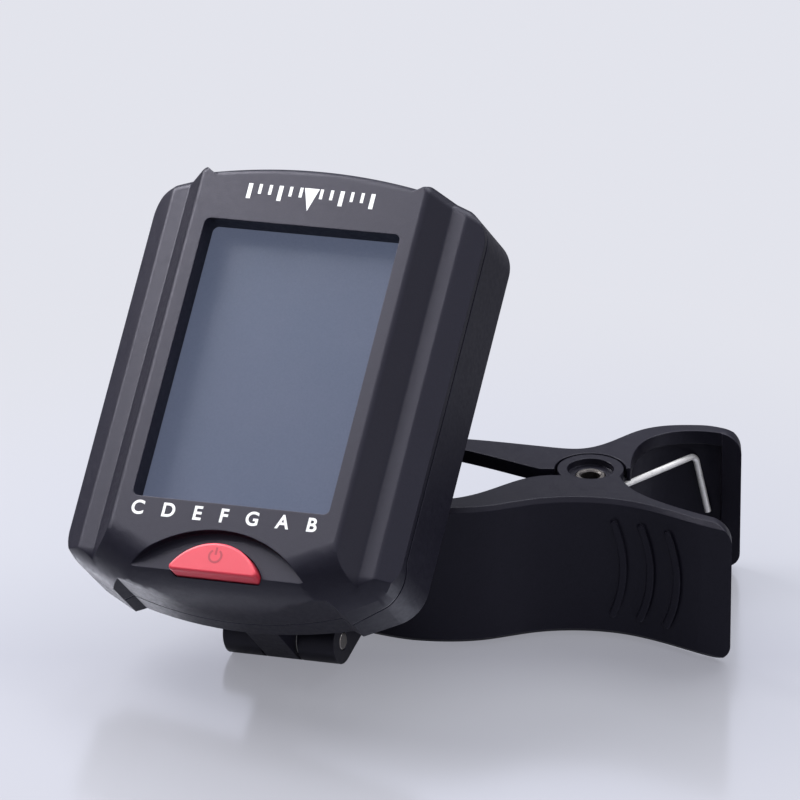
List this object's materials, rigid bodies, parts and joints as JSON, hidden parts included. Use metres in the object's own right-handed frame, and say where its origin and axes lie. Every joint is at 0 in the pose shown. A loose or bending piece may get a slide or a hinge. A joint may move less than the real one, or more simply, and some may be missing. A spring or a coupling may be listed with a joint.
{
  "type": "clip on tuner",
  "caption": "Clip-on instrument tuner: display head with power button on a tilting, swivelling bracket, held by a sprung two-jaw clip with rubber pads.",
  "frame": {"origin": "middle of the clamp mouth, halfway between the two pads and halfway across the clip", "axes": "+Z along the pivot pin, up as the tuner lies on its side; +X from the gripping nose towards the finger grips; +Y towards the rear jaw"},
  "size_m": [0.0831, 0.0559, 0.0577],
  "materials": {
    "front_shell": "fine spark-eroded black ABS",
    "back_shell": "fine spark-eroded black ABS",
    "battery_door": "fine spark-eroded black ABS",
    "power_button": "satin red moulded plastic",
    "display_lens": "clear acrylic window",
    "lens_gasket": "black foam",
    "lcd_panel": "unlit grey-blue display",
    "light_guide": "clear diffusing acrylic",
    "zebra_strips": "layered conductive silicone",
    "circuit_board": "green solder mask",
    "controller_chip": "moulded package",
    "crystal_can": "plain can",
    "switch_body": "moulded body",
    "switch_plunger": "moulded plunger",
    "piezo_disc": "rolled brass",
    "piezo_ceramic": "silvered ceramic",
    "coin_cell": "nickel-plated steel",
    "battery_contact_negative": "spring steel",
    "battery_contact_positive": "spring steel",
    "shell_screws": "black zinc",
    "hinge_bracket": "fine spark-eroded black ABS",
    "hinge_pin": "turned steel",
    "hinge_washers": "nylon",
    "front_jaw": "fine textured black ABS",
    "rear_jaw": "fine textured black ABS",
    "front_pad": "ribbed soft rubber",
    "rear_pad": "ribbed soft rubber",
    "pivot_pin": "rolled steel tube",
    "torsion_spring": "bright nickel wire",
    "swivel_rivet": "plated steel",
    "swivel_washer": "plated steel"
  },
  "bodies": {
    "front_clip": {"front_jaw": "front_jaw", "front_pad": "front_pad", "pivot_pin": "pivot_pin", "torsion_spring": "torsion_spring", "swivel_rivet": "swivel_rivet", "swivel_washer": "swivel_washer"},
    "rear_clip": {"rear_jaw": "rear_jaw", "rear_pad": "rear_pad"},
    "bracket": {"hinge_bracket": "hinge_bracket", "hinge_pin": "hinge_pin", "hinge_washers": "hinge_washers"},
    "head": {"front_shell": "front_shell", "back_shell": "back_shell", "display_lens": "display_lens", "lens_gasket": "lens_gasket", "lcd_panel": "lcd_panel", "light_guide": "light_guide", "zebra_strips": "zebra_strips", "circuit_board": "circuit_board", "controller_chip": "controller_chip", "crystal_can": "crystal_can", "switch_body": "switch_body", "piezo_disc": "piezo_disc", "piezo_ceramic": "piezo_ceramic", "coin_cell": "coin_cell", "battery_contact_negative": "battery_contact_negative", "battery_contact_positive": "battery_contact_positive", "shell_screws": "shell_screws"},
    "button": {"power_button": "power_button"},
    "plunger": {"switch_plunger": "switch_plunger"},
    "door": {"battery_door": "battery_door"}
  },
  "joints": [
    {"name": "jaw_pivot", "type": "hinge", "parent": "front_clip", "child": "rear_clip", "pos_m": [0.0345, -0.001, 0], "axis": [0, 0, -1], "range_deg": [0, 25], "stiffness_Nm_per_rad": 0.027, "springref_deg": -120.32, "deforming": ["torsion_spring"]},
    {"name": "bracket_swivel", "type": "hinge", "parent": "front_clip", "child": "bracket", "pos_m": [0.00053, -0.00716, 0], "axis": [-0.4108, -0.9117, 0], "range_deg": [-10, 85]},
    {"name": "head_tilt", "type": "hinge", "parent": "bracket", "child": "head", "pos_m": [-0.00284, -0.01606, -0.00627], "axis": [0.9077, -0.409, 0.0932], "range_deg": [-3, 75]},
    {"name": "power_button_press", "type": "slide", "parent": "head", "child": "button", "axis": [0.3472, 0.6076, -0.7144], "range_m": [0, 0.0004]},
    {"name": "switch_plunger_press", "type": "slide", "parent": "head", "child": "plunger", "axis": [0.3472, 0.6076, -0.7144], "range_m": [0, 0.0004]},
    {"name": "battery_door_slide", "type": "slide", "parent": "head", "child": "door", "axis": [0.2356, 0.6808, 0.6935], "range_m": [0, 0.014]}
  ],
  "couplings": [
    {"joint": "switch_plunger_press", "follows": "power_button_press", "ratio": 1}
  ]
}
